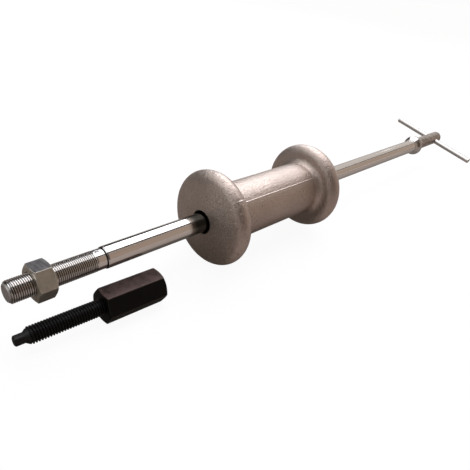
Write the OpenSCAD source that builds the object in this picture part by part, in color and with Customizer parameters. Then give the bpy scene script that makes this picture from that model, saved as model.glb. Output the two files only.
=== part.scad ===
// Slide hammer puller: a long rod with a sliding spool-shaped weight, a lock nut on its
// threaded front end, a rounded stop, a cross-drilled head with a tommy bar, and a loose
// hexagonal adapter that lies beside the rod.
// Millimetres. X runs along the rod from the front to the rear, Z is up. The origin is on
// the rod's axis at the first full thread. The weight's rims stand on the resting surface.

/* [Rod] */
// Diameter of the rod
rod_d = 17; // [15:0.5:19]
// Length of the rod's full diameter, from the front shoulder to the stop
rod_len = 494.2; // [420:0.5:600]
// Length of the plain land between the thread and the shoulder
land_len = 7; // [4:0.5:12]
// Diameter of the plain land
land_d = 15.5; // [14.5:0.05:16]
// Length of the chamfer on the front shoulder
shoulder_chamfer = 0.9; // [0.4:0.1:1.6]
// Width of the relief groove in front of the shoulder
groove_w = 0.8; // [0.4:0.1:1.5]
// Depth of the relief groove in front of the shoulder
groove_depth = 0.3; // [0.1:0.05:0.5]
// Diameter of the turned-down tail that carries the stop and the head
tail_d = 11; // [8:0.5:12]
// Length of the turned-down tail
tail_len = 56; // [45:1:60]

/* [Front thread] */
// Major diameter of the front thread
thread_d = 15.875; // [14:0.005:16.2]
// Pitch of the front thread
thread_pitch = 1.411; // [1:0.001:1.55]
// Depth of the front thread
thread_depth = 0.76; // [0.5:0.01:1]
// Length of the thread behind the first full turn
thread_len = 60.6; // [45:0.1:80]
// Length of the lead in front of the first full turn
lead_len = 1.3; // [1.3:0.1:3]
// Width of the chamfered edge on the front tip
tip_chamfer = 0.5; // [0.2:0.1:0.5]

/* [Lock nut] */
// Distance across the lock nut's flats
nut_flats = 24.2; // [21:0.1:30]
// Thickness of the lock nut
nut_thick = 13.2; // [8:0.1:16]
// Distance from the first full thread to the lock nut
nut_at = 14.7; // [10:0.1:30]
// Turn of the lock nut about the rod at rest, in degrees
nut_turn = 24.2; // [0:0.1:60]
// Length of the chamfer on the lock nut's corners
nut_chamfer = 1; // [0.5:0.1:1.5]

/* [Weight] */
// Distance from the first full thread to the middle of the front rim
weight_at = 176.6; // [120:0.1:300]
// Distance between the middles of the two rims
rim_spacing = 132.7; // [110:0.1:160]
// Outer diameter of the rims
rim_d = 85.8; // [78:0.1:96]
// Radius of the full-round rims
rim_r = 8.6; // [7:0.1:9.5]
// Rise of the domed end faces past the fronts of their rims
face_rise = 5.1; // [2:0.1:7]
// Diameter of the grip between the rims
grip_d = 51.8; // [46:0.1:56]
// Radius of the fillets between the grip and the rims
grip_fillet = 6.5; // [4:0.1:7]
// Diameter of the relieved bore mouths
mouth_d = 20.4; // [20.2:0.1:23]
// Depth of the relieved bore mouths
mouth_depth = 12; // [6:0.5:30]
// Length of the chamfer on the bore mouths
mouth_chamfer = 0.6; // [0.3:0.1:1.2]
// Clearance all round between the rod and the weight's guiding bore
weight_play = 0.3; // [0.15:0.01:0.5]

/* [Stop] */
// Outer diameter of the stop
stop_d = 26; // [24.5:0.1:30]
// Radius of the stop's rounded crown
stop_crown_r = 6; // [5:0.1:7]
// Radius of the hollow between the rod and the crown
stop_hollow_r = 8; // [6:0.1:11]
// Height of the stop's front edge over the rod
stop_lip = 0.15; // [0.1:0.05:0.4]
// Length of the stop's straight front edge
stop_edge = 0.3; // [0.2:0.05:1]

/* [Head] */
// Diameter of the cross-drilled head
head_d = 16.4; // [15:0.1:18]
// Length of the head
head_len = 74.5; // [72:0.5:90]
// Radius of the round on the head's end
head_round = 3.2; // [1:0.1:4]
// Distance from the head's end to the middle of the cross hole
bar_back = 18; // [10:0.1:25]

/* [Tommy bar] */
// Diameter of the tommy bar
bar_d = 7; // [5:0.1:7.5]
// Length of the tommy bar
bar_len = 123.4; // [90:0.1:160]
// Distance from the bar's middle to the rod's axis at rest
bar_shift = 2.8; // [0:0.1:8]
// Turn of the tommy bar about the rod, in degrees
bar_turn = 8; // [0:0.5:30]
// Length of the chamfer on the bar's ends
bar_chamfer = 0.7; // [0.3:0.1:1.2]

/* [Adapter] */
// Distance across the adapter's flats
adapter_flats = 24.4; // [21:0.1:28]
// Length of the adapter's hexagonal body
adapter_len = 50; // [42:0.5:60]
// Length of the chamfer on the adapter's corners
adapter_chamfer = 1.3; // [0.6:0.1:1.6]
// Depth of the socket that screws onto the rod
socket_depth = 24; // [18:0.5:25]
// Inner diameter of the socket's thread
socket_d = 14.6; // [13:0.1:15]
// Major diameter of the adapter's stud
stud_d = 12.7; // [11:0.1:14]
// Pitch of the stud's thread
stud_pitch = 1.954; // [1.5:0.001:2.2]
// Depth of the stud's thread
stud_depth = 1.2; // [0.7:0.01:1.2]
// Length of the stud's thread in front of the body
stud_len = 53; // [35:0.5:75]
// Length of the stud inside the body
stud_seat = 15; // [8:0.5:16]
// Diameter of the dog point on the stud's tip
dog_d = 7.6; // [5:0.1:8.4]
// Length of the dog point, with its taper
dog_len = 9.2; // [6:0.1:12]

/* [Layout] */
// Distance from the first full thread back to the middle of the adapter's body
adapter_at = 82.8; // [80:0.1:110]
// Distance from the rod's axis to the adapter's axis, seen from above
adapter_aside = 16.3; // [10:0.1:60]
// Turn of the adapter on the resting surface, in degrees
adapter_turn = 2.8; // [0:0.1:8]

/* [Fits] */
// Clearance all round between a shaft and the hole that it turns or slides in
running_fit = 0.05; // [0.02:0.01:0.1]

/* [Hidden] */
$fn = 96;
// Overrun of the cutting shapes past the faces that they cut
over = 1;
// Length of the taper from the stud's thread to its dog point
dog_taper = 1.6;
// Width of the chamfered edge on the dog point
dog_edge = 0.8;
// Width of the chamfer in the mouth of the socket
socket_edge = 1;
// Depth of the drilled cone past the end of the socket
drill_tip = 2.5;
// Room past the end of the tail and of the stud in their blind holes
blind_room = 1;
// Length of the chamfer on the end of the tail
tail_chamfer = 1;
// Share of a thread's pitch that its flat crests and roots take
flat_share = 1 / 8;

rod_r = rod_d / 2;
thread_r = thread_d / 2;
root_r = thread_r - thread_depth;
tail_r = tail_d / 2;
// places along X, from the first full thread
land_from = thread_len;
rod_from = land_from + land_len;
rod_to = rod_from + rod_len;
tail_to = rod_to + tail_len;
// each end face of the weight is domed about a point on the axis and runs into its rim's round
rim_ring = rim_d / 2 - rim_r;
face_lean = 2 * atan(face_rise / rim_ring);
face_r = rim_ring / sin(face_lean) + rim_r;
face_back = rim_ring / tan(face_lean);
// the stop's crown stands where its hollow runs out onto the rod
crown_c = stop_d / 2 - stop_crown_r;
hollow_c = rod_r + stop_lip + stop_hollow_r;
crown_run = sqrt(pow(stop_hollow_r + stop_crown_r, 2) - pow(hollow_c - crown_c, 2));
crown_x = rod_to + stop_edge + crown_run;
stop_back = crown_x + stop_crown_r;
head_to = stop_back + head_len;
bar_x = head_to - bar_back;
// the rims stand on the resting surface, and so does the adapter
floor_z = -rim_d / 2;
adapter_z = floor_z + adapter_flats / 2;
// inside the body the stud is plain, at the middle of its thread's depth
seat_r = (stud_d - stud_depth) / 2;

// A row of V grooves round the X axis, from x = 0, as the outline's points
function grooves(turns, pitch, crest, root, flat) = [
    for (i = [0:turns - 1], k = [0:3])
        k == 0 ? [i * pitch - flat / 2, crest] :
        k == 1 ? [i * pitch + flat / 2, crest] :
        k == 2 ? [i * pitch + pitch / 2 - flat / 2, root] :
                 [i * pitch + pitch / 2 + flat / 2, root]
];

// Turns an outline of [x, radius] points round the X axis
module turned(points) {
    rotate([90, 0, 90]) rotate_extrude() polygon([for (p = points) [p[1], p[0]]]);
}

// A round bar along X
module bar_x(from, to, radius) {
    turned([[from, 0], [from, radius], [to, radius], [to, 0]]);
}

// A hexagonal bar along X with its corners chamfered at both ends
module hex_x(from, to, flats, chamfer) {
    corner = flats / sqrt(3);
    intersection() {
        translate([from, 0, 0]) rotate([0, 90, 0]) cylinder(h = to - from, r = corner, $fn = 6);
        turned([[from, 0], [from, flats / 2 - chamfer / 2], [from + chamfer, corner],
            [to - chamfer, corner], [to, flats / 2 - chamfer / 2], [to, 0]]);
    }
}

// The threaded front, the land, the long rod and the turned-down tail
module slide_rod() {
    crest_flat = thread_pitch * flat_share;
    land_r = land_d / 2;
    // the grooves in front of the nut have flat crests, and those behind it run to an edge
    front_turns = floor(nut_at / thread_pitch);
    rear_turns = floor((thread_len - front_turns * thread_pitch) / thread_pitch);
    rear_x = front_turns * thread_pitch;
    color("silver") turned(concat(
        [[-lead_len, 0], [-lead_len, root_r - tip_chamfer],
            [-lead_len + tip_chamfer, root_r], [-thread_pitch / 2, root_r]],
        grooves(front_turns, thread_pitch, thread_r, root_r, crest_flat),
        [for (p = grooves(rear_turns, thread_pitch, thread_r, root_r, 0)) [p[0] + rear_x, p[1]]],
        [[rear_x + rear_turns * thread_pitch, thread_r], [land_from, land_r],
            [rod_from - groove_w, land_r], [rod_from - groove_w, land_r - groove_depth],
            [rod_from, land_r - groove_depth], [rod_from, land_r],
            [rod_from + shoulder_chamfer, rod_r], [rod_to, rod_r],
            [rod_to, tail_r], [tail_to - tail_chamfer, tail_r],
            [tail_to, tail_r - tail_chamfer], [tail_to, 0]]
    ));
}

// The hexagonal lock nut on the front thread
module lock_nut() {
    bore = thread_r + running_fit;
    nut_to = nut_at + nut_thick;
    color("darkkhaki") difference() {
        rotate([nut_turn, 0, 0]) hex_x(nut_at, nut_to, nut_flats, nut_chamfer);
        bar_x(nut_at - over, nut_to + over, bore);
    }
}

// The domed end face that runs into the rim whose middle is at rim_x, drawn as [radius, x]:
// way is 1 for the front face and -1 for the rear one
module dome_outline(rim_x, way) {
    low_x = way > 0 ? face_back - face_r : 0;
    translate([0, rim_x]) intersection() {
        translate([0, face_back * way]) circle(r = face_r);
        translate([0, low_x]) square([face_r * sin(face_lean), face_r - face_back]);
    }
}

// The sliding weight: a grip between two full-round rims with domed faces, bored to run on the rod
module hammer_weight() {
    rear_rim = weight_at + rim_spacing;
    fillet_x = rim_r + grip_fillet;
    bore = rod_r + weight_play;
    mouth = mouth_d / 2;
    wide = mouth + mouth_chamfer + over;
    // the domed faces meet the relieved bore this far from the middles of their rims
    mouth_x = sqrt(pow(face_r, 2) - pow(mouth, 2)) - face_back;
    front = weight_at - mouth_x;
    rear = rear_rim + mouth_x;
    color("rosybrown") rotate([90, 0, 90]) rotate_extrude() difference() {
        union() {
            for (x = [weight_at, rear_rim]) {
                translate([rim_ring, x]) circle(r = rim_r);
                translate([0, x - rim_r]) square([rim_ring, rim_r * 2]);
            }
            dome_outline(weight_at, 1);
            dome_outline(rear_rim, -1);
            translate([0, weight_at]) square([grip_d / 2, rim_spacing]);
            translate([0, weight_at]) square([grip_d / 2 + grip_fillet, fillet_x]);
            translate([0, rear_rim - fillet_x]) square([grip_d / 2 + grip_fillet, fillet_x]);
        }
        for (x = [weight_at + fillet_x, rear_rim - fillet_x])
            translate([grip_d / 2 + grip_fillet, x]) circle(r = grip_fillet);
        polygon([[0, front - over], [wide, front - over], [mouth, front + mouth_chamfer],
            [mouth, front + mouth_depth], [bore, front + mouth_depth],
            [bore, rear - mouth_depth], [mouth, rear - mouth_depth],
            [mouth, rear - mouth_chamfer], [wide, rear + over], [0, rear + over]]);
    }
}

// The rounded stop behind the weight, bored to sit on the rod's tail
module stop_collar() {
    stop_from = rod_to;
    hollow_x = rod_to + stop_edge;
    color("gainsboro") difference() {
        rotate([90, 0, 90]) rotate_extrude() difference() {
            union() {
                translate([crown_c, crown_x]) circle(r = stop_crown_r);
                translate([0, stop_from]) square([crown_c, stop_back - stop_from]);
                translate([0, stop_from])
                    square([(crown_c * stop_hollow_r + hollow_c * stop_crown_r)
                        / (stop_hollow_r + stop_crown_r), crown_run + stop_edge]);
            }
            translate([hollow_c, hollow_x]) circle(r = stop_hollow_r);
            translate([rod_r + stop_lip, stop_from - over])
                square([stop_hollow_r, over + stop_edge]);
        }
        bar_x(stop_from - over, stop_back + over, tail_r + running_fit);
    }
}

// The round head on the tail, with a blind socket in front and the bar's cross hole
module end_head() {
    head_r = head_d / 2;
    socket_to = tail_to + blind_room;
    color("tan") difference() {
        rotate([90, 0, 90]) rotate_extrude() union() {
            translate([0, stop_back]) square([head_r, head_len - head_round]);
            translate([0, stop_back]) square([head_r - head_round, head_len]);
            intersection() {
                translate([head_r - head_round, head_to - head_round]) circle(r = head_round);
                translate([0, stop_back]) square([head_r, head_len]);
            }
        }
        bar_x(stop_back - over, socket_to, tail_r + running_fit);
        translate([bar_x, 0, 0]) rotate([bar_turn, 0, 0]) rotate([90, 0, 0])
            cylinder(h = head_d + over * 2, r = bar_d / 2 + running_fit, center = true);
    }
}

// The plain tommy bar through the head
module tommy_bar() {
    bar_r = bar_d / 2;
    near = -bar_shift - bar_len / 2;
    far = -bar_shift + bar_len / 2;
    color("whitesmoke") translate([bar_x, 0, 0]) rotate([bar_turn, 0, 0]) rotate([-90, 0, 0])
        rotate_extrude() polygon([[0, near], [bar_r - bar_chamfer, near],
            [bar_r, near + bar_chamfer], [bar_r, far - bar_chamfer],
            [bar_r - bar_chamfer, far], [0, far]]);
}

// Places what is drawn along X about the middle of the adapter's body
module at_adapter() {
    translate([adapter_at, -adapter_aside, adapter_z]) rotate([0, 0, -adapter_turn]) children();
}

// The adapter's hexagonal body: a stud hole in front, a threaded socket in its rear
module adapter_body() {
    front = -adapter_len / 2;
    rear = adapter_len / 2;
    socket_r = socket_d / 2;
    color("dimgray") at_adapter() difference() {
        rotate([90, 0, 0]) hex_x(front, rear, adapter_flats, adapter_chamfer);
        bar_x(front - over, front + stud_seat + blind_room, seat_r + running_fit);
        turned([[rear + over, 0], [rear + over, socket_r + socket_edge + over],
            [rear - socket_edge, socket_r], [rear - socket_depth, socket_r],
            [rear - socket_depth - drill_tip, 0]]);
    }
}

// The adapter's threaded stud with a dog point
module adapter_stud() {
    stud_r = stud_d / 2;
    stud_root = stud_r - stud_depth;
    dog_r = dog_d / 2;
    front = -adapter_len / 2;
    turns = floor(stud_len / stud_pitch);
    first = front - turns * stud_pitch;
    color("darkslategray") at_adapter() turned(concat(
        [[first - dog_len, 0], [first - dog_len, dog_r - dog_edge],
            [first - dog_len + dog_edge, dog_r],
            [first - stud_pitch / 2 - dog_taper, dog_r],
            [first - stud_pitch / 2, stud_root]],
        [for (p = grooves(turns, stud_pitch, stud_r, stud_root, stud_pitch * flat_share))
            [p[0] + first, p[1]]],
        [[front - stud_pitch / 2, stud_root], [front, stud_root], [front, seat_r],
            [front + stud_seat, seat_r], [front + stud_seat, 0]]
    ));
}

slide_rod();
lock_nut();
hammer_weight();
stop_collar();
end_head();
tommy_bar();
adapter_body();
adapter_stud();
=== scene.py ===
"""Looks of a slide hammer puller: rod, nut, sliding weight, stop, cross bar and adapter."""

import math

import bmesh
import bpy
from mathutils import Matrix, Vector, noise


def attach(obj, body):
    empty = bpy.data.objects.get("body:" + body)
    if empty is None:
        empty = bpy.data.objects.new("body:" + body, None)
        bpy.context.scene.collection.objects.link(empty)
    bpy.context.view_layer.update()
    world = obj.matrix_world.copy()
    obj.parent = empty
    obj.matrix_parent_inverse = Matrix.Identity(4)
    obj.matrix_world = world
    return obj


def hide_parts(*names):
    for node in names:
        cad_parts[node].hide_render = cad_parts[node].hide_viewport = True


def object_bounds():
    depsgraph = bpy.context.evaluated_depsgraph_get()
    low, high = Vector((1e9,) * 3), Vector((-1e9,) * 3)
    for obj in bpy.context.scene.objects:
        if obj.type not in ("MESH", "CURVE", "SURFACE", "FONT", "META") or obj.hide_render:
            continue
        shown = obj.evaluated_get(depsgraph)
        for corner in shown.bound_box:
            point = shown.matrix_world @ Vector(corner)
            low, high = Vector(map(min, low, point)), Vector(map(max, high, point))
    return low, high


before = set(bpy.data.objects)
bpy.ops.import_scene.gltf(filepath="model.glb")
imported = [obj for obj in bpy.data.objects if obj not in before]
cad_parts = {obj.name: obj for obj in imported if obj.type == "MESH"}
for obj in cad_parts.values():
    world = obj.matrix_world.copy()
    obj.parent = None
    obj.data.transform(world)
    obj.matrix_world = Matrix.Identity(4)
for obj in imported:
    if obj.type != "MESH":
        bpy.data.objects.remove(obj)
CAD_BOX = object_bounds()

bl_info = {
    "name": "Slide hammer puller",
    "version": (1, 0, 0),
    "blender": (4, 5, 0),
    "location": "3D Viewport > Sidebar > Puller",
    "description": "Turns, threads and casts the visible pieces of a slide hammer puller",
    "category": "Object",
}

ALONG = Vector((1, 0, 0))  # along the rod, to the rear
TURN = math.tau
SIDES = 96  # round a turned piece
WELD = 2e-7  # metres within which two points are one
# Painted dark reflection and shade on the rod at the weight's front mouth:
PAINTED_DARK_SPAN = (0.1415, 0.1535, 0.168, 0.176)  # it starts, is full, fades and ends


# Settings


def length(name, description, default):
    """A length in metres that the sidebar shows in the scene's unit."""
    return bpy.props.FloatProperty(
        name=name, description=description, default=default, min=0.0, precision=5,
        subtype="DISTANCE", unit="LENGTH",
    )


def angle(name, description, default):
    """An angle in radians, given in degrees."""
    return bpy.props.FloatProperty(
        name=name, description=description, default=math.radians(default), subtype="ANGLE",
        unit="ROTATION",
    )


def colour(name, description, default):
    """A colour in linear light."""
    return bpy.props.FloatVectorProperty(
        name=name, description=description, default=default, size=3, min=0.0, max=1.0,
        subtype="COLOR",
    )


def share(name, description, default, most=1.0):
    """A plain factor."""
    return bpy.props.FloatProperty(
        name=name, description=description, default=default, min=0.0, max=most,
        subtype="FACTOR",
    )


class RodSettings(bpy.types.PropertyGroup):
    """Sizes of the rod and its front thread."""

    diameter: length("Rod diameter", "Full diameter of the polished rod", 0.017)
    shoulder: length("Shoulder", "Place of the shoulder behind the land", 0.0676)
    back: length("Rod end", "Place where the full diameter ends, at the stop", 0.5618)
    chamfer: length("Shoulder chamfer", "Length of the shoulder's chamfer", 0.0009)
    land: length("Land diameter", "Diameter of the plain land behind the thread", 0.0155)
    land_from: length("Land start", "Place where the thread runs out into the land", 0.0606)
    groove: length("Groove width", "Width of the relief groove at the shoulder", 0.0008)
    groove_depth: length("Groove depth", "Depth of the relief groove", 0.00045)
    tail: length("Tail diameter", "Diameter of the tail inside the stop and the head", 0.011)
    tail_end: length("Tail end", "Place of the tail's end", 0.6178)
    thread: length("Thread diameter", "Major diameter of the front thread", 0.015875)
    pitch: length("Thread pitch", "Pitch of the front thread", 0.001411)
    depth: length("Thread depth", "Depth of the front thread", 0.00076)
    lead: length("Tip length", "Length of the tip in front of the first full thread", 0.0013)
    tip: length("Tip chamfer", "Width of the tip's chamfered edge", 0.0011)


class NutSettings(bpy.types.PropertyGroup):
    """Sizes of the lock nut."""

    front: length("Nut place", "Place of the nut's front face", 0.0147)
    thickness: length("Nut thickness", "Thickness of the nut", 0.0132)
    flats: length("Nut flats", "Distance across the nut's flats", 0.0242)
    chamfer: length("Nut chamfer", "Length of the chamfer on the corners", 0.001)
    turn: angle("Nut turn", "Turn of the nut about the rod", 24.2)
    play: length("Nut play", "Room round the thread inside the nut", 0.00005)


class WeightSettings(bpy.types.PropertyGroup):
    """Sizes of the sliding weight."""

    front: length("Front rim", "Place of the middle of the front rim", 0.1766)
    spacing: length("Rim spacing", "Distance between the middles of the rims", 0.1327)
    diameter: length("Rim diameter", "Outer diameter of the rims", 0.0858)
    round: length("Rim round", "Radius of the rims' round edge", 0.0086)
    grip: length("Grip diameter", "Diameter of the grip", 0.0518)
    fillet: length("Fillet", "Radius between the grip and the rims", 0.0065)
    bore: length("Bore diameter", "Diameter of the guiding bore", 0.0176)
    mouth: length("Mouth diameter", "Diameter of the wider bore mouths", 0.0204)
    mouth_depth: length("Mouth depth", "Depth of the bore mouths", 0.012)
    edge: length("Mouth chamfer", "Chamfer on the bore mouths", 0.0006)
    rise: length("Face rise", "How far the domed end faces rise past their rims", 0.0051)
    seam: angle("Seam angle", "Angle of the casting seam about the rod", 131.0)
    seam_height: length("Seam height", "Height of the casting seam", 0.00032)
    unevenness: length("Unevenness", "How uneven the cast surface is", 0.00012)


class StopSettings(bpy.types.PropertyGroup):
    """Sizes of the rounded stop."""

    diameter: length("Stop diameter", "Outer diameter of the stop", 0.026)
    crown: length("Crown radius", "Radius of the rounded crown", 0.006)
    hollow: length("Hollow radius", "Radius of the hollow in front of the crown", 0.008)
    lip: length("Lip", "Height of the front edge over the rod", 0.00015)
    edge: length("Edge", "Length of the straight front edge", 0.0003)


class HeadSettings(bpy.types.PropertyGroup):
    """Sizes of the cross-drilled head and its bar."""

    diameter: length("Head diameter", "Diameter of the head", 0.0164)
    length: length("Head length", "Length of the head", 0.0745)
    round: length("Head round", "Radius of the head's rounded end", 0.0032)
    hole_back: length("Hole place", "Distance from the head's end to the cross hole", 0.018)
    bar: length("Bar diameter", "Diameter of the cross bar", 0.007)
    bar_length: length("Bar length", "Length of the cross bar", 0.1234)
    bar_shift: length("Bar shift", "How far the bar sits towards the near side", 0.0028)
    bar_turn: angle("Bar turn", "Turn of the bar about the rod", 8.0)
    bar_chamfer: length("Bar chamfer", "Chamfer on the bar's ends", 0.0007)
    play: length("Play", "Room round the bar and the tail in their holes", 0.00005)


class AdapterSettings(bpy.types.PropertyGroup):
    """Sizes and place of the loose adapter."""

    along: length("Adapter place", "Place of the middle of the adapter's body", 0.0828)
    aside: length("Adapter distance", "Distance from the rod to the adapter", 0.0163)
    turn: angle("Adapter turn", "Turn of the adapter on the surface", 2.8)
    flats: length("Adapter flats", "Distance across the adapter's flats", 0.0244)
    length: length("Adapter length", "Length of the hexagonal body", 0.05)
    chamfer: length("Adapter chamfer", "Length of the chamfer on the corners", 0.0013)
    socket: length("Socket diameter", "Inner diameter of the socket's thread", 0.0146)
    socket_depth: length("Socket depth", "Depth of the socket", 0.024)
    stud: length("Stud diameter", "Major diameter of the stud", 0.0127)
    pitch: length("Stud pitch", "Pitch of the stud's thread", 0.001954)
    depth: length("Stud depth", "Depth of the stud's thread", 0.0012)
    stud_length: length("Stud length", "Length of the stud's thread", 0.053)
    seat: length("Stud seat", "Length of the stud inside the body", 0.015)
    dog: length("Dog diameter", "Diameter of the dog point", 0.0076)
    dog_length: length("Dog length", "Length of the dog point with its taper", 0.0092)
    taper: length("Taper", "Length of the taper behind the dog point", 0.0016)


class FinishSettings(bpy.types.PropertyGroup):
    """Colours and roughness of the finishes."""

    chrome: colour(
        "Chrome", "Colour of the polished rod, the stop and the bar", (0.80, 0.77, 0.745)
    )
    chrome_roughness: share("Chrome roughness", "Roughness of the polished steel", 0.10)
    nut: colour("Nut", "Colour of the plated nut", (0.62, 0.582, 0.50))
    cast: colour("Cast metal", "Colour of the weight's cast surface", (0.655, 0.552, 0.492))
    cast_roughness: share("Cast roughness", "Roughness of the cast surface", 0.385)
    head: colour("Turned steel", "Colour of the turned head", (0.58, 0.52, 0.475))
    black: colour("Black oxide", "Colour of the blackened adapter", (0.004, 0.0036, 0.0034))
    floor: colour("Floor", "Colour of the floor near the tool", (0.28, 0.25, 0.23))


class StudioSettings(bpy.types.PropertyGroup):
    """Camera and light."""

    eye: bpy.props.FloatVectorProperty(
        name="Camera place", description="Where the camera stands",
        default=(-0.085176, -0.233562, 0.213071), size=3, subtype="TRANSLATION", unit="LENGTH",
    )
    aim: bpy.props.FloatVectorProperty(
        name="Camera turn", description="Turn of the camera",
        default=tuple(math.radians(a) for a in (56.653432, -10.16384, -45.297523)),
        size=3, subtype="EULER", unit="ROTATION",
    )
    lens: bpy.props.FloatProperty(
        name="Lens", description="Focal length for a 36 mm wide picture", default=35.98,
        unit="CAMERA",
    )
    softbox: share("Softbox", "Brightness of the softbox's face", 2.48, 10.0)
    softbox_colour: colour("Softbox colour", "Colour of the softbox", (0.872, 0.915, 1.0))
    ambient: share("Room light", "Brightness of the room's even light", 0.36, 10.0)


# Turning and milling


def arc(place, radius, size, start, end, count):
    """Points on a round part of an outline, from one angle to another in degrees."""
    steps = (start + (end - start) * i / count for i in range(count + 1))
    return [
        (place + size * math.cos(math.radians(a)), radius + size * math.sin(math.radians(a)))
        for a in steps
    ]


def new_outline(bm, outline, closed=False):
    """Draws an outline of (place, radius) pairs above the axis."""
    verts = [bm.verts.new((place, 0, radius)) for place, radius in outline]
    pairs = list(zip(verts, verts[1:] + verts[:1]))
    edges = [bm.edges.new(pair) for pair in (pairs if closed else pairs[:-1])]
    return verts + edges


def turn(bm, outline, closed=False, sides=SIDES):
    """Turns an outline once round the axis."""
    before = set(bm.verts)
    bmesh.ops.spin(
        bm, geom=new_outline(bm, outline, closed), cent=(0, 0, 0), axis=ALONG, angle=TURN,
        steps=sides, use_merge=True,
    )
    weld(bm, [v for v in bm.verts if v not in before])


def weld(bm, verts=None):
    """Merges what lies in one place, such as the poles of a turned shape."""
    bmesh.ops.remove_doubles(bm, verts=verts or bm.verts, dist=WELD)


def set_radius(vert, radius):
    """Moves a vertex straight out from the axis, or in, to a radius."""
    now = math.hypot(vert.co.y, vert.co.z)
    if now > 0:
        vert.co.y *= radius / now
        vert.co.z *= radius / now


def wind(bm, start, end, pitch, crest, root, bounds_at, sides=64):
    """Winds a true screw thread between two places. bounds_at gives the least and most radius
    at a place, so that the thread starts and runs out as a cut one does. Returns both rims."""
    flat = pitch / 8
    turns = math.ceil((end - start) / pitch) + 3
    outline = []
    for i in range(turns):
        at = start + (i - 2) * pitch
        middle = (crest + root) / 2
        outline += [
            (at - flat / 2, crest), (at + flat / 2, crest), (at + pitch / 4, middle),
            (at + pitch / 2 - flat / 2, root), (at + pitch / 2 + flat / 2, root),
            (at + pitch * 3 / 4, middle),
        ]
    before = set(bm.verts)
    bmesh.ops.spin(
        bm, geom=new_outline(bm, outline), cent=(0, 0, 0), axis=ALONG, angle=TURN, steps=sides,
        dvec=ALONG * (pitch / sides),
    )
    made = [v for v in bm.verts if v not in before]
    bmesh.ops.remove_doubles(bm, verts=made, dist=pitch / 100)
    made = [v for v in bm.verts if v not in before]
    for vert in made:
        least, most = bounds_at(vert.co.x)
        set_radius(vert, min(max(math.hypot(vert.co.y, vert.co.z), least), most))
    rims = []
    for place, side in ((start, "clear_inner"), (end, "clear_outer")):
        made = [v for v in bm.verts if v not in before]
        reach = set(made)
        edges = [e for e in bm.edges if e.verts[0] in reach]
        faces = [f for f in bm.faces if f.verts[0] in reach]
        cut = bmesh.ops.bisect_plane(
            bm, geom=made + edges + faces, dist=WELD, plane_co=(place, 0, 0), plane_no=ALONG,
            **{side: True},
        )
        rims.append([g for g in cut["geom_cut"] if isinstance(g, bmesh.types.BMEdge)])
    for rim, place in zip(rims, (start, end)):
        for vert in {v for e in rim for v in e.verts}:
            vert.co.x = place
            set_radius(vert, bounds_at(place)[1])
    return rims


def set_rim(rim, radius):
    """Gives a round rim one radius."""
    for vert in {v for e in rim for v in e.verts}:
        set_radius(vert, radius)


def carry_on(bm, rim, stations):
    """Extrudes a round rim to each (place, radius) in turn. A radius of zero closes it."""
    for place, radius in stations:
        made = bmesh.ops.extrude_edge_only(bm, edges=rim)["geom"]
        verts = {g for g in made if isinstance(g, bmesh.types.BMVert)}
        rim = [g for g in made if isinstance(g, bmesh.types.BMEdge) and set(g.verts) <= verts]
        for vert in verts:
            vert.co.x = place
            set_radius(vert, radius)
    if stations[-1][1] == 0:
        weld(bm, list(verts))
        rim = []
    return rim


def mill_hexagon(bm, flats):
    """Cuts six flats on a turned bar. Returns the directions that they face."""
    facing = [Vector((0, math.cos(a), math.sin(a))) for a in (TURN * i / 6 for i in range(6))]
    for out in facing:
        cut = bmesh.ops.bisect_plane(
            bm, geom=bm.verts[:] + bm.edges[:] + bm.faces[:], dist=WELD,
            plane_co=out * (flats / 2), plane_no=out, clear_outer=True,
        )
        edges = [g for g in cut["geom_cut"] if isinstance(g, bmesh.types.BMEdge)]
        bmesh.ops.edgeloop_fill(bm, edges=edges)
    return facing


def soften(bm, edges, width, slot=0):
    """Rounds edges a little, and puts the rounding in a material slot."""
    made = bmesh.ops.bevel(
        bm, geom=edges, offset=width, offset_type="OFFSET", segments=2, profile=0.5,
        affect="EDGES", material=-1, clamp_overlap=True,
    )
    for face in made["faces"]:
        face.material_index = slot


def sharp_edges(bm, least):
    """Edges at which two faces meet at more than an angle in degrees."""
    bend = math.radians(least)
    return [e for e in bm.edges if e.is_manifold and e.calc_face_angle(0.0) > bend]


def as_mesh(bm, name):
    """Ends a bmesh as a mesh."""
    mesh = bpy.data.meshes.new(name)
    bm.to_mesh(mesh)
    bm.free()
    return mesh


def new_object(name, data):
    """Puts a mesh, a lamp or a camera in the scene."""
    made = bpy.data.objects.new(name, data)
    bpy.context.scene.collection.objects.link(made)
    return made


def finish_piece(bm, name, materials, body, node, place=None, crisp=30.0):
    """Makes a bmesh a piece with its finish, its place in its mesh and the body it rides on."""
    if not bm.faces:
        raise RuntimeError(name + " has no faces")
    bmesh.ops.recalc_face_normals(bm, faces=bm.faces)
    if place is not None:
        bmesh.ops.transform(bm, matrix=place, verts=bm.verts)
    mesh = as_mesh(bm, name)
    for polygon in mesh.polygons:
        polygon.use_smooth = True
    mesh.set_sharp_from_angle(angle=math.radians(crisp))
    for finish in materials:
        mesh.materials.append(finish)
    piece = new_object(name, mesh)
    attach(piece, body)
    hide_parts(node)
    return piece


def steady_normals(piece):
    """Keeps flat faces flat in the shading next to their rounded edges."""
    shading = piece.modifiers.new("steady normals", "WEIGHTED_NORMAL")
    shading.keep_sharp = True
    shading.weight = 80


# Finishes


class Value:
    """A shader socket that takes part in Python's arithmetic: each sign adds a Math node."""

    def __init__(self, recipe, socket):
        self.recipe = recipe
        self.socket = socket

    def maths(self, operation, *others):
        """The result of one Math node on this value and others."""
        return self.recipe.maths(operation, self, *others)

    def __add__(self, other):
        return self.maths("ADD", other)

    __radd__ = __add__

    def __sub__(self, other):
        return self.maths("SUBTRACT", other)

    def __rsub__(self, other):
        return self.recipe.maths("SUBTRACT", other, self)

    def __mul__(self, other):
        return self.maths("MULTIPLY", other)

    __rmul__ = __mul__

    def __pow__(self, other):
        return self.maths("POWER", other)


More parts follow.
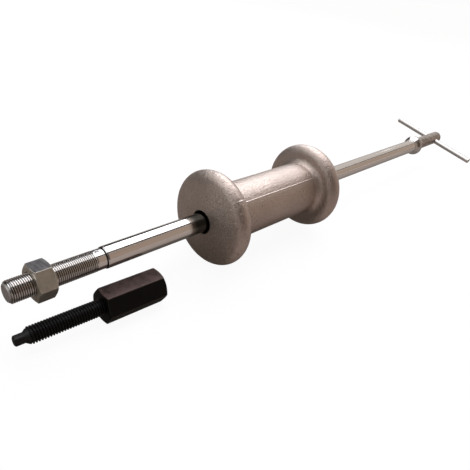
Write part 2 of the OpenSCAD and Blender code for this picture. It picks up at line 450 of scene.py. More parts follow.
class Recipe:
    """Builds the nodes of a material or of the world."""

    def __init__(self, owner):
        owner.use_nodes = True
        self.tree = owner.node_tree
        self.tree.nodes.clear()

    def node(self, kind, settings=None, out=0, **values):
        """Adds a node. Its settings come first, then what its sockets get, by the socket's name
        or as i and its number."""
        made = self.tree.nodes.new("ShaderNode" + kind)
        for name, setting in (settings or {}).items():
            setattr(made, name, setting)
        for name, value in values.items():
            socket = made.inputs[int(name[1:]) if name[1:].isdigit() else name.replace("_", " ")]
            if isinstance(value, Value):
                self.tree.links.new(value.socket, socket)
            else:
                socket.default_value = value
        return Value(self, made.outputs[out])

    def maths(self, operation, *values):
        """One Math node."""
        sockets = {f"i{i}": value for i, value in enumerate(values)}
        return self.node("Math", {"operation": operation}, **sockets)

    def along(self, vector, direction):
        """How far a vector reaches in a direction."""
        return self.node(
            "VectorMath", {"operation": "DOT_PRODUCT"}, out="Value", i0=vector, i1=direction
        )

    def mix(self, factor, first, second):
        """One Mix node on colours."""
        shades = [s if isinstance(s, Value) else (*s, 1) for s in (first, second)]
        return self.node(
            "Mix", {"data_type": "RGBA", "clamp_factor": True}, out=2,
            i0=factor, i6=shades[0], i7=shades[1],
        )

    def fade(self, value, low, high, to_low=0.0, to_high=1.0):
        """A smooth step of a value between two places."""
        return self.node(
            "MapRange", {"interpolation_type": "SMOOTHSTEP"}, Value=value,
            From_Min=low, From_Max=high, To_Min=to_low, To_Max=to_high,
        )

    def places(self):
        """Object coordinates, in metres."""
        return self.node("TexCoord", out="Object")

    def parts(self, vector):
        """The three parts of a vector."""
        first = self.node("SeparateXYZ", Vector=vector)
        outputs = first.socket.node.outputs
        return [Value(self, outputs[i]) for i in range(3)]

    def noise(self, places, scale, detail=2.0, roughness=0.5):
        """Noise from 0 to 1."""
        return self.node(
            "TexNoise", Vector=places, Scale=scale, Detail=detail, Roughness=roughness
        )

    def stretched(self, places, x, y, z):
        """Places scaled by three factors, for a pattern with a grain."""
        return self.node("Mapping", {"vector_type": "POINT"}, Vector=places, Scale=(x, y, z))

    def bump(self, height, distance, strength=1.0, under=None):
        """A Bump node, on top of another one where there is one."""
        more = {} if under is None else {"Normal": under}
        return self.node("Bump", Height=height, Distance=distance, Strength=strength, **more)

    def show(self, shader, owner="Material"):
        """Links a shader to the output."""
        output = self.tree.nodes.new("ShaderNodeOutput" + owner)
        self.tree.links.new(shader.socket, output.inputs["Surface"])

    def surface(self, **values):
        """The shader of a piece, with its output."""
        self.show(self.node("BsdfPrincipled", **values))


def dimmed(values, by):
    """A colour, darker or lighter."""
    return tuple(v * by for v in values)


def material(name):
    """A new material and its recipe."""
    made = bpy.data.materials.new(name)
    return made, Recipe(made)


def polished_steel(finish, name, shade=1.0, more_rough=0.0, across=False):
    """Ground and polished steel: fine scratches along and round the bar and a few smudges. On the
    rod, a painted dark reflection and shade at the weight's front mouth, and painted shade in the
    groove at its shoulder."""
    made, mix = material(name)
    here = mix.places()
    grain_scale = (2600, 60, 2600) if across else (60, 2600, 2600)
    ring_scale = (90, 3200, 90) if across else (3200, 90, 90)
    grain = mix.noise(mix.stretched(here, *grain_scale), 1.0, 3.0, 0.6)
    rings = mix.noise(mix.stretched(here, *ring_scale), 1.0, 2.0, 0.6)
    smudge = mix.noise(here, 38.0, 4.0, 0.6)
    streak = mix.noise(mix.stretched(here, 5, 330, 330), 1.0, 2.0, 0.6)
    rough = finish.chrome_roughness + more_rough + (smudge - 0.5) * 0.07 + (grain - 0.5) * 0.05
    rod = bpy.context.scene.puller_rod
    neck, past = rod.shoulder - rod.groove, rod.shoulder + 0.0003
    x = mix.parts(here)[0]
    # Painted dark reflection and shade at the weight's mouth, and painted shade in the shoulder's
    # groove
    painted_dark_mask = mix.fade(x, PAINTED_DARK_SPAN[0], PAINTED_DARK_SPAN[1]) * mix.fade(x, PAINTED_DARK_SPAN[3], PAINTED_DARK_SPAN[2])
    painted_groove_shade = mix.fade(x, neck - 0.0001, neck) * mix.fade(x, past + 0.0001, past)
    painted_dark_mask = painted_dark_mask.maths("MAXIMUM", painted_groove_shade)
    tone = mix.mix(streak, dimmed(finish.chrome, 0.8 * shade), dimmed(finish.chrome, 1.1 * shade))
    mix.surface(
        Base_Color=mix.mix(painted_dark_mask * 0.92, tone, (0.035, 0.045, 0.04)),
        Metallic=1.0,
        Roughness=rough.maths("MAXIMUM", 0.04),
        Normal=mix.bump(grain + rings * 0.6, 0.000004, 0.6),
    )
    return made


def cut_thread(finish):
    """Machined thread: bright crests, roots darker with painted shade, and a duller tip."""
    rod = bpy.context.scene.puller_rod
    top = rod.thread / 2
    made, mix = material("cut thread")
    here = mix.places()
    x, y, z = mix.parts(here)
    radius = (y * y + z * z) ** 0.5
    nose = mix.fade(x, -0.0002, -0.0008)
    crest = mix.fade(radius, top - rod.depth + 0.00004, top - 0.00014)
    crest = crest.maths("MAXIMUM", nose * 0.7)
    marks = mix.noise(mix.stretched(here, 300, 1400, 1400), 1.0, 3.0, 0.6)
    mix.surface(
        # The darker roots are painted shade
        Base_Color=mix.mix(crest, dimmed(finish.chrome, 0.28), dimmed(finish.chrome, 0.98)),
        Metallic=1.0,
        Roughness=0.2 - crest * 0.06 + nose * 0.3 + (marks - 0.5) * 0.08,
        Normal=mix.bump(marks, 0.00001, 0.5),
    )
    return made


def plated_nut(finish, name, worn):
    """Zinc-plated nut: satin and slightly cloudy, brighter and smoother where it is worn, and a
    darker scratched grey on the flat that is on top, which is painted shade."""
    size = bpy.context.scene.puller_nut
    made, mix = material(name)
    here = mix.places()
    cloud = mix.noise(here, 210.0, 4.0, 0.6)
    marks = mix.noise(mix.stretched(here, 260, 1900, 1900), 1.0, 3.0, 0.65)
    base = dimmed(finish.nut, 1.5) if worn else tuple(finish.nut)
    up = size.turn + math.radians(60)
    height = mix.along(here, (0, math.cos(up), math.sin(up)))
    # Painted shade: the flat on top is a darker grey
    painted_top_shade = mix.fade(height, size.flats / 2 - 0.0003, size.flats / 2 - 0.0001)
    scratches = mix.noise(mix.stretched(here, 700, 150, 150), 1.0, 4.0, 0.7)
    tone = mix.mix(mix.fade(cloud, 0.3, 0.7), dimmed(base, 0.82), base)
    grey = mix.mix(mix.fade(scratches, 0.35, 0.65), (0.105, 0.10, 0.101), (0.22, 0.21, 0.208))
    mix.surface(
        Base_Color=mix.mix(painted_top_shade * (0.3 if worn else 1.0), tone, grey),
        Metallic=0.8,
        Roughness=(0.24 if worn else 0.36) + (marks - 0.5) * 0.16,
        Normal=mix.bump(marks + cloud, 0.00002, 0.5),
    )
    return made


def cast_metal(finish, size):
    """Fine cast metal: satin skin, seam, pits, stains, grime and painted shade at the mouths."""
    made, mix = material("cast metal")
    here = mix.places()
    x, y, z = mix.parts(here)
    radius = (y * y + z * z) ** 0.5
    half, mouth = size.spacing / 2, size.mouth / 2
    out = (x - (size.front + half)).maths("ABSOLUTE")
    grit = mix.noise(here, 820.0, 3.0, 0.6)
    leather = mix.noise(mix.stretched(here, 330, 520, 300), 1.0, 3.0, 0.6)
    stain = mix.noise(here, 36.0, 4.0, 0.6)
    off = mix.along(here, (0, -math.sin(size.seam), math.cos(size.seam))).maths("ABSOLUTE")
    side = mix.fade(out, half + size.round * 0.9, half + size.round * 0.4)
    seam_end = size.front + size.spacing - size.round - size.fillet
    line = mix.fade(off, 0.0006, 0.0001) * side * mix.fade(x, seam_end + 0.004, seam_end)
    pits = mix.fade(mix.noise(here, 520.0, 1.0, 0.4), 0.30, 0.24)
    # Grime and painted shade: the end faces are darker close round the bore mouths
    grime_and_shade = mix.fade(radius + (stain - 0.5) * 0.004, mouth + 0.0008, mouth)
    grime_and_shade = grime_and_shade * mix.fade(out, half, half + size.round)
    tone = mix.mix(
        mix.fade(stain, 0.25, 0.75), dimmed(finish.cast, 0.86), dimmed(finish.cast, 1.05)
    )
    tone = mix.mix(mix.fade(grit, 0.25, 0.75), dimmed(finish.cast, 0.74), tone)
    rim_end = size.front + size.round
    tone = mix.mix(
        line * mix.fade(x, rim_end, rim_end + size.fillet, 0.8, 0.5), tone, (0.93, 0.87, 0.82)
    )
    tone = mix.mix(pits * 0.6, tone, dimmed(finish.cast, 0.3))
    tone = mix.mix(grime_and_shade * 0.55, tone, (0.02, 0.021, 0.02))
    coarse = mix.bump(leather - pits * 0.5, 0.00048, 1.0)
    mix.surface(
        Base_Color=tone,
        Metallic=0.9,
        Roughness=finish.cast_roughness + (grit - 0.5) * 0.2 - line * 0.1,
        Normal=mix.bump(grit, 0.0003, 1.0, coarse),
    )
    return made


def painted_shade_bore():
    """The weight's bore and mouths, nearly black: painted shade for their depth."""
    made, mix = material("bore with painted shade")
    here = mix.places()
    painted_dark_mask = mix.noise(here, 160.0, 3.0, 0.6)
    rings = mix.noise(mix.stretched(here, 2600, 60, 60), 1.0, 2.0, 0.5)
    mix.surface(
        Base_Color=mix.mix(painted_dark_mask, (0.006, 0.009, 0.009), (0.022, 0.026, 0.026)),
        Metallic=0.4,
        Roughness=0.32 + painted_dark_mask * 0.2,
        Normal=mix.bump(rings, 0.00002, 0.5),
    )
    return made


def turned_steel(finish):
    """Satin steel with the fine rings that a lathe leaves."""
    made, mix = material("turned steel")
    here = mix.places()
    rings = mix.noise(mix.stretched(here, 2400, 70, 70), 1.0, 3.0, 0.7)
    cloud = mix.noise(here, 120.0, 3.0, 0.6)
    mix.surface(
        Base_Color=mix.mix(
            mix.fade(cloud, 0.3, 0.7), dimmed(finish.head, 0.5), dimmed(finish.head, 0.85)
        ),
        Metallic=1.0,
        Roughness=0.27 + rings * 0.16,
        Normal=mix.bump(rings, 0.00003, 0.6),
    )
    return made


def black_oxide(finish, name, gloss, worn=False):
    """Blackened steel, worn a little at the edges, with a lighter brown on the flat on top, a
    painted sheen.
    """
    scene = bpy.context.scene
    flat = scene.puller_adapter.flats - scene.puller_weight.diameter / 2  # its height
    made, mix = material(name)
    here = mix.places()
    cloud = mix.noise(here, 90.0, 5.0, 0.65)
    marks = mix.noise(mix.stretched(here, 240, 1700, 1700), 1.0, 3.0, 0.6)
    base = dimmed(finish.black, 3.4) if worn else tuple(finish.black)
    # Painted sheen: the flat on top is a lighter brown
    top = mix.fade(mix.parts(here)[2], flat - 0.0008, flat - 0.0001)
    top = top * mix.fade(cloud, 0.2, 0.6)
    tone = mix.mix(mix.fade(cloud, 0.3, 0.7), dimmed(base, 0.75), dimmed(base, 1.3))
    mix.surface(
        Base_Color=mix.mix(top * 0.9, tone, (0.13, 0.088, 0.079)),
        Metallic=0.25,
        Specular_IOR_Level=gloss,
        Roughness=(0.36 if worn else 0.44) + (marks - 0.5) * 0.14,
        Normal=mix.bump(marks + cloud * 1.5, 0.00003, 0.5),
    )
    return made


FINISHES = {}


def get_finishes():
    """All the finishes, made once."""
    if not FINISHES:
        finish = bpy.context.scene.puller_finish
        FINISHES.update(
            steel=polished_steel(finish, "polished steel"),
            # The stop and the cross bar are darker copies of the chrome: painted shade
            stop=polished_steel(finish, "polished stop", 0.74, 0.07),
            bar=polished_steel(finish, "polished cross bar", 0.82, 0.05, across=True),
            thread=cut_thread(finish),
            nut=plated_nut(finish, "plated nut", False),
            nut_edge=plated_nut(finish, "plated nut, worn", True),
            cast=cast_metal(finish, bpy.context.scene.puller_weight),
            bore=painted_shade_bore(),
            head=turned_steel(finish),
            black=black_oxide(finish, "black oxide", 0.2),
            black_edge=black_oxide(finish, "black oxide, worn", 0.4, True),
            black_thread=black_oxide(finish, "black oxide thread", 0.6),
        )
    return FINISHES


# Pieces


class PULLER_OT_rod(bpy.types.Operator):
    """Make the long rod with its screw thread, land, groove and shoulder"""

    bl_idname = "puller.rod"
    bl_label = "Rod"
    bl_options = {"REGISTER", "UNDO"}

    def execute(self, context):
        size = context.scene.puller_rod
        finish = get_finishes()
        crest, root = size.thread / 2, size.thread / 2 - size.depth
        land, rod, tail = size.land / 2, size.diameter / 2, size.tail / 2
        tip = root - size.tip

        def bounds_at(x):
            """The crests rise from the tip, and the roots rise to the land in the run-out."""
            nose = tip + max(x + size.lead, 0)
            run = size.land_from - x
            least = root + (land - root) * max(0, 1 - run / size.pitch / 1.5)
            most = min(crest, nose, land + max(run, 0) * 0.6)
            return min(least, most), most

        bm = bmesh.new()
        front, back = wind(bm, -size.lead, size.land_from, size.pitch, crest, root, bounds_at)
        carry_on(bm, front, [(-size.lead, tip * 0.55), (-size.lead, 0)])
        threaded = set(bm.faces)
        # The ring where the land starts, soft edges, the groove's walls and the tail's chamfer
        ring, soft, slant, edge = 0.00035, 0.00012, 0.00008, 0.001
        neck, low = size.shoulder - size.groove, land - size.groove_depth
        full = size.shoulder + size.chamfer
        carry_on(bm, back, [
            (size.land_from + soft, land - soft), (size.land_from + ring, land - soft),
            (size.land_from + ring + soft, land), (neck, land), (neck + slant, low),
            (size.shoulder - slant, low), (size.shoulder, land),
            (size.shoulder + soft, land + 0.0002), (full - 0.00025, rod - soft),
            (full + 0.0002, rod), (full + 0.0008, rod), (size.back, rod), (size.back, tail),
            (size.tail_end - edge, tail), (size.tail_end, tail - edge), (size.tail_end, 0),
        ])
        for face in bm.faces:
            face.material_index = 0 if face in threaded else 1
        finish_piece(
            bm, "threaded_slide_rod", [finish["thread"], finish["steel"]], "rod",
            "slide_rod", crisp=25.0,
        )
        return {"FINISHED"}


def hexagonal_bar(bm, start, end, flats, chamfer, before, after, closed, width):
    """Turns a bar, mills six flats and softens their edges to a width. The outline's parts
    before and after the wall that gets the flats are given."""
    corner = flats / math.sqrt(3)
    face = flats / 2 - chamfer / 2
    wide = corner * 1.05
    run = (wide - face) * chamfer / (corner - face)
    sides = [(start, face), (start + run, wide), (end - run, wide), (end, face)]
    turn(bm, before + sides + after, closed)
    facing = mill_hexagon(bm, flats)
    bm.normal_update()
    flat_faces = {f for f in bm.faces if any(f.normal.dot(out) > 0.9999 for out in facing)}
    edges = [e for e in bm.edges if any(f in flat_faces for f in e.link_faces)]
    soften(bm, edges, width, slot=1)


class PULLER_OT_nut(bpy.types.Operator):
    """Make the hexagonal lock nut with chamfered corners and worn edges"""

    bl_idname = "puller.nut"
    bl_label = "Lock nut"
    bl_options = {"REGISTER", "UNDO"}

    def execute(self, context):
        size, rod = context.scene.puller_nut, context.scene.puller_rod
        finish = get_finishes()
        start, end = size.front, size.front + size.thickness
        bore = rod.thread / 2 + size.play
        edge = 0.0006
        bm = bmesh.new()
        hexagonal_bar(
            bm, start, end, size.flats, size.chamfer,
            [(end, bore + edge), (end - edge, bore), (start + edge, bore), (start, bore + edge)],
            [], True, 0.00022,
        )
        nut = finish_piece(
            bm, "hexagonal_lock_nut", [finish["nut"], finish["nut_edge"]], "nut",
            "lock_nut", place=Matrix.Rotation(size.turn, 4, "X"), crisp=40.0,
        )
        steady_normals(nut)
        return {"FINISHED"}


def weight_outline(size):
    """Half the weight's section: domed faces, round rims, fillets, grip, mouths and bore."""
    first, last = size.front, size.front + size.spacing
    ring = size.diameter / 2 - size.round
    grip = size.grip / 2
    bore, mouth = size.bore / 2, size.mouth / 2
    step = size.round + size.fillet
    lean = 2 * math.atan(size.rise / ring)
    dome, back_off = ring / math.sin(lean) + size.round, ring / math.tan(lean)
    slope, start = math.degrees(lean), math.degrees(math.asin((mouth + size.edge) / dome))
    reach = dome * math.cos(math.radians(start)) - back_off
    front, back = first - reach, last + reach
    inner, slant = size.mouth_depth, size.mouth_depth + 0.0005
    grip_points = [
        (first + step + (size.spacing - 2 * step) * i / 12, grip) for i in range(1, 12)
    ]
    return (
        [(front + size.edge, mouth)]
        + arc(first + back_off, 0, dome, 180 - start, 180 - slope, 9)
        + arc(first, ring, size.round, 180 - slope, 0, 20)[1:]
        + arc(first + step, grip + size.fillet, size.fillet, 180, 270, 9)
        + grip_points
        + arc(last - step, grip + size.fillet, size.fillet, 270, 360, 9)
        + arc(last, ring, size.round, 180, slope, 20)
        + arc(last - back_off, 0, dome, slope, start, 9)[1:]
        + [(back - size.edge, mouth)]
        + [(back - inner, mouth), (back - slant, bore)]
        + [(front + slant, bore), (front + inner, mouth)]
    )


def raise_seam(bm, size):
    """Raises the casting seam, which is low on the rear rim and ends before both faces, and
    makes the whole skin a little uneven."""
    first, last = size.front, size.front + size.spacing
    step = size.round + size.fillet
    dents = 55  # a metre
    for vert in bm.verts:
        radius = math.hypot(vert.co.y, vert.co.z)
        if radius > size.mouth / 2 + 2 * size.edge:
            away = max(first - vert.co.x, vert.co.x - last) / size.round
            ended = (vert.co.x - last + step) / size.fillet
            ridge = size.seam_height * min(max(1.5 - 2 * away, 0), 1, max(1 - ended, 0.25))
            on_seam = abs(vert.co.y) < WELD * 100
            uneven = min(noise.noise(vert.co * dents), 0.0) * size.unevenness
            vert.co += vert.normal * ((ridge if on_seam else 0) + uneven)


class PULLER_OT_weight(bpy.types.Operator):
    """Make the cast weight: two round rims, a grip, a bore and the casting seam"""

    bl_idname = "puller.weight"
    bl_label = "Sliding weight"
    bl_options = {"REGISTER", "UNDO"}

    def execute(self, context):
        size = context.scene.puller_weight
        finish = get_finishes()
        bm = bmesh.new()
        seam = math.radians(1.5)  # to each side of the seam the steps are narrow
        sweep = math.pi - 2 * seam
        last_ring = new_outline(bm, weight_outline(size), closed=True)
        for swing, steps in ((seam, 2), (sweep, 62), (2 * seam, 4), (sweep, 62), (seam, 2)):
            last_ring = bmesh.ops.spin(
                bm, geom=last_ring, cent=(0, 0, 0), axis=ALONG, angle=swing, steps=steps
            )["geom_last"]
        bmesh.ops.remove_doubles(bm, verts=bm.verts, dist=0.00001)
        bmesh.ops.recalc_face_normals(bm, faces=bm.faces)
        bm.normal_update()
        raise_seam(bm, size)
        # Faces inside the mouths and the bore get the nearly black painted shade
        for face in bm.faces:
            centre = face.calc_center_median()
            inside = math.hypot(centre.y, centre.z) < size.mouth / 2 + size.edge * 0.4
            face.material_index = 1 if inside else 0
        finish_piece(
            bm, "cast_hammer_weight", [finish["cast"], finish["bore"]], "weight",
            "hammer_weight", place=Matrix.Rotation(size.seam - math.pi / 2, 4, "X"), crisp=50.0,
        )
        return {"FINISHED"}


def stop_curves(scene):
    """The radius of the stop's lip, those of the middles of its crown and its hollow, and how
    far the second two lie apart along the rod."""
    size = scene.puller_stop
    lip = scene.puller_rod.diameter / 2 + size.lip
    crown, hollow = size.diameter / 2 - size.crown, lip + size.hollow
    return lip, crown, hollow, math.sqrt((size.hollow + size.crown) ** 2 - (hollow - crown) ** 2)


class PULLER_OT_stop(bpy.types.Operator):
    """Make the rounded stop behind the weight"""

    bl_idname = "puller.stop"
    bl_label = "Stop"
    bl_options = {"REGISTER", "UNDO"}

    def execute(self, context):
        size, rod = context.scene.puller_stop, context.scene.puller_rod
        finish = get_finishes()
        front = rod.back
        lip, crown, hollow, reach = stop_curves(context.scene)
        middle = front + size.edge + reach
        meet = math.degrees(math.asin((hollow - crown) / (size.hollow + size.crown)))
        bore = rod.tail / 2 + context.scene.puller_head.play
        back, soft = middle + size.crown, 0.0001
        outline = (
            [(front, bore), (front, lip - soft), (front + soft, lip)]
            + arc(front + size.edge, hollow, size.hollow, 270, 360 - meet, 14)
            + arc(middle, crown, size.crown, 180 - meet, 8, 26)[1:]
            + [(back - 0.00002, crown - 0.0006), (back, bore)]
        )
        bm = bmesh.new()
        turn(bm, outline, closed=True)
        finish_piece(
            bm, "crowned_stop_collar", [finish["stop"]], "rod", "stop_collar",
            crisp=50.0,
        )
        return {"FINISHED"}


def head_places(scene):
    """Where the head starts behind the stop, where it ends, and where the bar's hole is."""
    stop, head = scene.puller_stop, scene.puller_head
    front = scene.puller_rod.back + stop.edge + stop_curves(scene)[3] + stop.crown
    back = front + head.length
    return front, back, back - head.hole_back


def drill_through(context, bm, place, radius, length):
    """Drills a round hole through a turned piece. Returns the drilled piece as a new bmesh."""
    blank = new_object("blank", as_mesh(bm, "blank"))
    drill = bmesh.new()
    bmesh.ops.create_cone(
        drill, cap_ends=True, segments=64, radius1=radius, radius2=radius, depth=length,
        matrix=place,
    )
    tool = new_object("drill", as_mesh(drill, "drill"))
    cut = blank.modifiers.new("cross hole", "BOOLEAN")
    cut.operation, cut.solver, cut.object = "DIFFERENCE", "EXACT", tool
    context.view_layer.update()
    drilled = blank.evaluated_get(context.evaluated_depsgraph_get())
    made = bmesh.new()
    made.from_mesh(drilled.to_mesh())
    drilled.to_mesh_clear()
    for thing in (blank, tool):
        bpy.data.objects.remove(thing)
    weld(made)
    return made


class PULLER_OT_head(bpy.types.Operator):
    """Make the turned head with its cross hole"""

    bl_idname = "puller.head"
    bl_label = "Cross-drilled head"
    bl_options = {"REGISTER", "UNDO"}

    def execute(self, context):
        size, rod = context.scene.puller_head, context.scene.puller_rod
        finish = get_finishes()
        front, back, hole = head_places(context.scene)
        wall, edge, soft = size.diameter / 2, 0.0006, 0.0001
        socket, bottom = rod.tail / 2 + size.play, rod.tail_end + 0.001
        beside = (-0.0065, -0.005, 0.005, 0.0065)  # rings that keep the shading even
        outline = (
            [(bottom, 0), (bottom, socket), (front, socket), (front, wall - edge - soft)]
            + [(front + 2 * soft, wall - edge / 2), (front + edge, wall)]
            + [(front + 2 * edge, wall)]
            + [(hole + side, wall) for side in beside]
            + arc(back - size.round, wall - size.round, size.round, 90, 0, 10)
            + [(back, wall - size.round - 0.0015), (back, 0)]
        )
        bm = bmesh.new()
        turn(bm, outline)
        bmesh.ops.recalc_face_normals(bm, faces=bm.faces)
        place = Matrix.Translation((hole, 0, 0))
        place @= Matrix.Rotation(size.bar_turn - math.pi / 2, 4, "X")
        bm = drill_through(context, bm, place, size.bar / 2 + size.play, size.diameter * 1.6)
        axis = Vector((0, math.cos(size.bar_turn), math.sin(size.bar_turn)))
        near = size.bar / 2 + size.play * 3

        def at_hole(vert):
            """Whether a vertex lies on the wall of the cross hole."""
            off = vert.co - Vector((hole, 0, 0))
            return (off - axis * off.dot(axis)).length < near

        rim = [e for e in sharp_edges(bm, 35.0) if all(at_hole(v) for v in e.verts)]
        if not rim:
            raise RuntimeError("the cross hole wasn't drilled")
        soften(bm, rim, 0.0003)
        finish_piece(
            bm, "cross_drilled_head", [finish["head"]], "rod", "end_head",
            crisp=42.0,
        )
        return {"FINISHED"}


class PULLER_OT_bar(bpy.types.Operator):
    """Make the cross bar"""

    bl_idname = "puller.bar"
    bl_label = "Cross bar"
    bl_options = {"REGISTER", "UNDO"}

    def execute(self, context):
        size = context.scene.puller_head
        finish = get_finishes()
        hole = head_places(context.scene)[2]
        near = -size.bar_shift - size.bar_length / 2
        far = near + size.bar_length
        wall, cut = size.bar / 2, size.bar_chamfer
        soft = cut * 0.18
        outline = [
            (near, 0), (near, wall - cut - soft), (near + soft, wall - cut),
            (near + cut - soft, wall - soft * 0.7), (near + cut + soft, wall),
            (near + 2 * cut, wall), (far - 2 * cut, wall),
            (far - cut - soft, wall), (far - cut + soft, wall - soft * 0.7),
            (far - soft, wall - cut), (far, wall - cut - soft), (far, 0),
        ]
        bm = bmesh.new()
        turn(bm, outline, sides=64)
        place = (
            Matrix.Translation((hole, 0, 0))
            @ Matrix.Rotation(size.bar_turn, 4, "X")
            @ Matrix.Rotation(math.pi / 2, 4, "Z")
        )
        finish_piece(
            bm, "sliding_tommy_bar", [finish["bar"]], "bar", "tommy_bar",
            place=place, crisp=50.0,
        )
        return {"FINISHED"}


def adapter_place(size):
    """Where the adapter lies, from a shape that is drawn along the axis."""
    across = bpy.context.scene.puller_weight.diameter / 2 - size.flats / 2
    return (
        Matrix.Translation((size.along, -size.aside, -across))
        @ Matrix.Rotation(-size.turn, 4, "Z")
    )


class PULLER_OT_adapter(bpy.types.Operator):
    """Make the adapter's hexagonal body with its threaded socket"""

    bl_idname = "puller.adapter"
    bl_label = "Adapter body"
    bl_options = {"REGISTER", "UNDO"}

    def execute(self, context):
        size, rod = context.scene.puller_adapter, context.scene.puller_rod
        finish = get_finishes()
        start, end = -size.length / 2, size.length / 2
        room, cone = 0.00005, 0.0025
        inner, outer = size.socket / 2, rod.thread / 2 + 0.00008
        mouth = inner + 0.001
        seat = (size.stud - size.depth) / 2 + room
        bottom = start + size.seat + 0.001
        bm = bmesh.new()
        hexagonal_bar(
            bm, start, end, size.flats, size.chamfer,
            [(bottom, 0), (bottom, seat), (start, seat)], [(end, mouth)], False, 0.0003,
        )
        mouth_rim = [e for e in bm.edges if e.is_boundary]
        floor = end - size.socket_depth

        def bounds_at(x):
            """The groove deepens over a pitch from the floor, and ends in the mouth's chamfer."""
            most = inner + (outer - inner) * min(max(x - floor, 0) / rod.pitch, 1)
            least = max(inner, mouth - room - (end - x - room))
            return least, max(most, least)

        low_rim, high_rim = wind(
            bm, floor, end - room, rod.pitch, inner, outer, bounds_at, sides=48
        )
        for rim, radius in ((low_rim, inner), (high_rim, mouth - room)):
            set_rim(rim, radius)
        carry_on(bm, low_rim, [(floor - 0.0001, inner - 0.0002), (floor - cone, 0)])
        bmesh.ops.bridge_loops(bm, edges=mouth_rim + high_rim)
        body = finish_piece(
            bm, "hexagonal_adapter_body", [finish["black"], finish["black_edge"]], "adapter",
            "adapter_body",
            place=adapter_place(size) @ Matrix.Rotation(math.pi / 2, 4, "X"), crisp=40.0,
        )
        steady_normals(body)
        return {"FINISHED"}


class PULLER_OT_stud(bpy.types.Operator):
    """Make the adapter's threaded stud with its dog point"""

    bl_idname = "puller.stud"
    bl_label = "Adapter stud"
    bl_options = {"REGISTER", "UNDO"}

    def execute(self, context):
        size = context.scene.puller_adapter
        finish = get_finishes()
        body = -size.length / 2
        crest, root = size.stud / 2, size.stud / 2 - size.depth
        turns = math.floor(size.stud_length / size.pitch)
        first = body - turns * size.pitch
        dog = size.dog / 2
        start = first - size.pitch / 2 - size.taper

        def bounds_at(x):
            """The crests and roots taper to the dog point."""
            nose = dog + (x - start) * (crest - dog) / (size.taper + size.pitch)
            return (root if x > start + size.taper else min(root, nose)), min(crest, nose)

        bm = bmesh.new()
        front, back = wind(bm, start, body, size.pitch, crest, root, bounds_at)
        set_rim(front, dog)
        seat = (size.stud - size.depth) / 2
        tip = first - size.dog_length
        edge = 0.0008
        carry_on(bm, front, [
            (tip + edge + 0.0002, dog), (tip + edge - 0.0002, dog - 0.0001),
            (tip + 0.00012, dog - edge + 0.00008), (tip, dog - edge - 0.00015),
            (tip, dog * 0.4), (tip, 0),
        ])
        carry_on(bm, back, [(body, seat), (body + size.seat, seat), (body + size.seat, 0)])
        finish_piece(
            bm, "dog_point_stud", [finish["black_thread"]], "adapter",
            "adapter_stud", place=adapter_place(size),
        )
        return {"FINISHED"}


# Stage


def lookers(mix):
    """Three values that are one where the camera, a reflection or a glass looks."""
    path = mix.node("LightPath").socket.node
    rays = ("Is Camera Ray", "Is Glossy Ray", "Is Transmission Ray")
    return [Value(mix, path.outputs[ray]) for ray in rays]


def curved_card(name, away, first, last, start, end, near, far=None, change=(0, 1)):
    """A curved card round the tool's axis that only lights and reflections meet. It stands some
    way out, from one place to another along the tool and from one angle to another in degrees.
    Its shade goes from near to far between the two places of change."""
    bm = bmesh.new()
    start, end = math.radians(start), math.radians(end)
    verts = [
        bm.verts.new((x, away * math.cos(start), away * math.sin(start))) for x in (first, last)
    ]
    bmesh.ops.spin(
        bm, geom=verts + [bm.edges.new(verts)], cent=(0, 0, 0), axis=ALONG, angle=end - start,
        steps=24,
    )
    made, mix = material(name)
    shade = mix.mix(mix.fade(mix.parts(mix.places())[0], *change), near, far or near)
    mix.show(mix.node("Emission", Color=shade, Strength=1.0))
    card = new_object(name, as_mesh(bm, name))
    card.data.materials.append(made)
    card.visible_camera = False
    card.visible_shadow = False


def lay_floor(finish):
    """A pale floor that keeps the tool's shadow. The camera sees it nearly white, and polished
    metal sees it darker near the tool, where the real one reflects a dim room, and darkest under
    the weight and the rod in front of it, a painted shadow."""
    bm = bmesh.new()
    middle, drop = 0.3, 0.0002
    bmesh.ops.create_grid(bm, x_segments=1, y_segments=1, size=12)
    bmesh.ops.translate(bm, verts=bm.verts, vec=(middle, 0, CAD_BOX[0].z - drop))
    made, mix = material("pale floor")
    camera, glossy, through = lookers(mix)
    x, y, _ = mix.parts(mix.places())
    away = ((x - middle) ** 2 + y * y) ** 0.5
    seen = glossy.maths("MAXIMUM", through)
    near_tone = mix.node(
        "BsdfDiffuse", Color=mix.mix(camera, tuple(finish.floor), (0.95, 0.95, 0.95))
    )
    # Painted shadow: what metal sees under the tool is darkest under the weight and the front of
    # the rod
    under = mix.mix(mix.fade(x, 0.25, 0.42), (0.11, 0.095, 0.085), (0.30, 0.27, 0.25))
    under = mix.mix(mix.fade(y, 0.03, 0.10), under, (0.30, 0.265, 0.245))
    sides = mix.mix(mix.fade(y, -0.06, -0.025), (0.44, 0.37, 0.34), under)
    mirrored = mix.mix(mix.fade(away, 1.6, 2.2), sides, (1, 1, 1))
    white = mix.node(
        "Emission", Color=mix.mix(seen, (1, 1, 1), mirrored), Strength=1.0 + camera * 0.04
    )
    shown = mix.maths("MAXIMUM", camera * 0.9, seen * 0.75)
    mix.show(mix.node("MixShader", i0=shown, i1=near_tone, i2=white))
    floor = new_object("floor", as_mesh(bm, "floor"))
    floor.data.materials.append(made)


def light_room(scene, strength):
    """An even light from all sides, which the camera, reflections and glass see as white."""
    scene.world = bpy.data.worlds.new("studio")
    mix = Recipe(scene.world)
    camera, glossy, through = lookers(mix)
    shown = camera.maths("MAXIMUM", glossy.maths("MAXIMUM", through))
    even = mix.node("Background", Color=(1.0, 0.98, 0.96, 1), Strength=strength)
    plain = mix.node("Background", Color=(1, 1, 1, 1), Strength=1.0)
    mix.show(mix.node("MixShader", i0=shown, i1=even, i2=plain), "World")


DARK, SILVER = (0.05, 0.042, 0.038), (0.60, 0.56, 0.54)
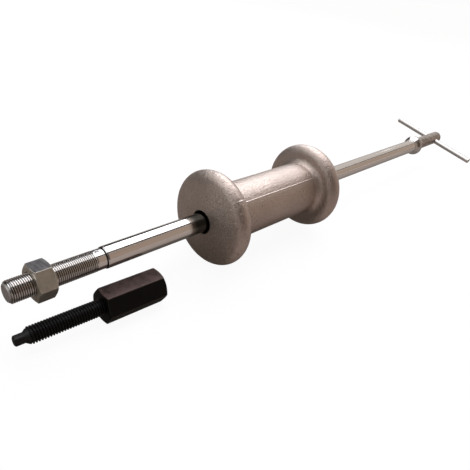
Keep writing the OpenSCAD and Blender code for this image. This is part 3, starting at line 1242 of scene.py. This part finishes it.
# Name, distance from the axis, first and last place, first and last angle, and shade. Where a
# card has two shades, the places between which it changes come last.
CARDS = (
    ("front card", 1.6, -9, 0.62, 116, 180.5, (0.12, 0.095, 0.08)),
    ("room card", 1.6, 0.62, 9, 116, 180.5, (0.36, 0.275, 0.225), (0.44, 0.35, 0.29), (0.7, 1.9)),
    ("edge card", 1.6, -9, 9, 101, 115, DARK, (0.20, 0.16, 0.13), (1.2, 2.2)),
    ("top card", 1.2, -0.4, 1.9, 76, 102, (2.2, 2.15, 2.2)),
    ("low back card", 1.6, -9, 9, -1.4, 33, DARK, SILVER, (0.9, 1.7)),
    ("near back card", 1.0, 0.22, 0.553, 28, 60, (0.24, 0.22, 0.21)),
    ("line card", 1.0, 0.553, 1.05, 14, 31, DARK),
    ("rear card", 0.75, 1.15, 9, 31, 99, (0.66, 0.61, 0.57)),
)


class PULLER_OT_stage(bpy.types.Operator):
    """Make the floor, the studio light and the camera"""

    bl_idname = "puller.stage"
    bl_label = "Stage"
    bl_options = {"REGISTER", "UNDO"}

    def execute(self, context):
        scene, studio = context.scene, context.scene.puller_studio
        scene.view_settings.view_transform = "Standard"
        lay_floor(scene.puller_finish)
        light_room(scene, studio.ambient)
        for card in CARDS:
            curved_card(*card)

        lamp = bpy.data.lights.new("softbox", "AREA")
        lamp.shape, lamp.size, lamp.size_y = "RECTANGLE", 1.7, 1.3
        lamp.energy = studio.softbox * math.pi * lamp.size * lamp.size_y
        lamp.color = studio.softbox_colour
        box = new_object("softbox", lamp)
        middle, towards = Vector((0.32, 0, 0)), Vector((0.45, 0.50, 0.74)).normalized()
        box.location = middle + towards * 1.35
        box.rotation_euler = (-towards).to_track_quat("-Z", "Y").to_euler()

        lens = bpy.data.cameras.new("camera")
        lens.sensor_width, lens.lens = 36.0, studio.lens
        lens.clip_start, lens.clip_end = 0.01, 50.0
        eye = new_object("camera", lens)
        eye.location, eye.rotation_euler = studio.eye, studio.aim
        scene.camera = eye
        return {"FINISHED"}


# Add-on


class PULLER_PT_sidebar(bpy.types.Panel):
    """Sizes, finishes and pieces of the slide hammer puller"""

    bl_idname = "PULLER_PT_sidebar"
    bl_label = "Slide hammer puller"
    bl_space_type = "VIEW_3D"
    bl_region_type = "UI"
    bl_category = "Puller"

    def draw(self, context):
        for name in SETTINGS:
            box = self.layout.box()
            settings = getattr(context.scene, name)
            for field in settings.bl_rna.properties:
                if field.identifier not in ("rna_type", "name"):
                    box.prop(settings, field.identifier)
        for piece in PIECES:
            self.layout.operator(piece.bl_idname)


SETTINGS = {
    "puller_rod": RodSettings,
    "puller_nut": NutSettings,
    "puller_weight": WeightSettings,
    "puller_stop": StopSettings,
    "puller_head": HeadSettings,
    "puller_adapter": AdapterSettings,
    "puller_finish": FinishSettings,
    "puller_studio": StudioSettings,
}
PIECES = (
    PULLER_OT_rod, PULLER_OT_nut, PULLER_OT_weight, PULLER_OT_stop, PULLER_OT_head,
    PULLER_OT_bar, PULLER_OT_adapter, PULLER_OT_stud, PULLER_OT_stage,
)


def register():
    """Registers the settings, the operators and the panel."""
    for made in (*SETTINGS.values(), *PIECES, PULLER_PT_sidebar):
        bpy.utils.register_class(made)
    for name, group in SETTINGS.items():
        setattr(bpy.types.Scene, name, bpy.props.PointerProperty(type=group))


def unregister():
    """Removes what register added."""
    for name in SETTINGS:
        delattr(bpy.types.Scene, name)
    for made in reversed((*SETTINGS.values(), *PIECES, PULLER_PT_sidebar)):
        bpy.utils.unregister_class(made)


def main():
    """Makes every piece and the stage."""
    register()
    for piece in PIECES:
        getattr(bpy.ops.puller, piece.bl_idname.split(".")[1])()


if __name__ == "__main__":
    main()
